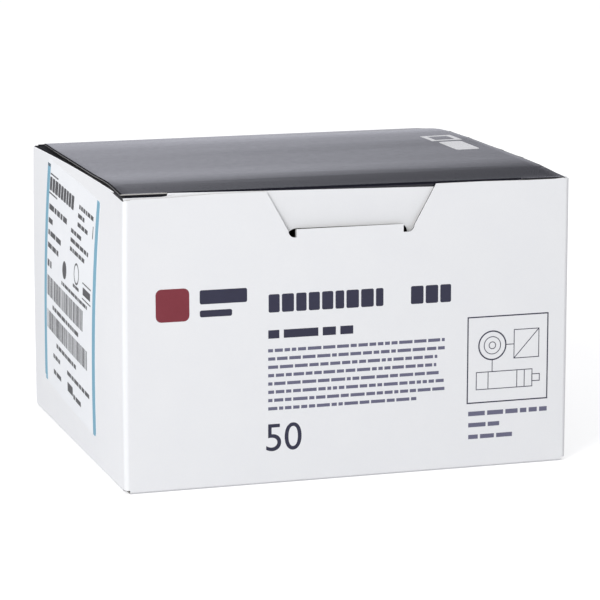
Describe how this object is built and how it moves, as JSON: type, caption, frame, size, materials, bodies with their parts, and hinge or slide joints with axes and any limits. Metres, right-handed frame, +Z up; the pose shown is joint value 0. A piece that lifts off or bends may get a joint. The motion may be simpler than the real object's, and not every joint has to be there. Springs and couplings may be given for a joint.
{
  "type": "folding carton",
  "caption": "Folding carton of coated board with a hinged tuck lid, finger recess, dust flaps, crash-lock bottom and a paper label on one side wall.",
  "frame": {"origin": "middle of the base on the ground", "axes": "+Z up, -Y to the front wall with the finger recess, X along the width, the label on the -X wall"},
  "size_m": [0.2001, 0.18, 0.1286],
  "materials": {
    "carton_body": "coated white board, satin varnish",
    "lid": "coated board printed dark navy, gloss varnish",
    "side_label": "matt coated label paper"
  },
  "bodies": {
    "carton": {"carton_body": "carton_body", "side_label": "side_label"},
    "lid": {"lid": "lid"}
  },
  "joints": [
    {"name": "lid_hinge", "type": "hinge", "parent": "carton", "child": "lid", "pos_m": [0, 0.0897, 0.1267], "axis": [-1, 0, 0], "range_deg": [0, 200]}
  ]
}
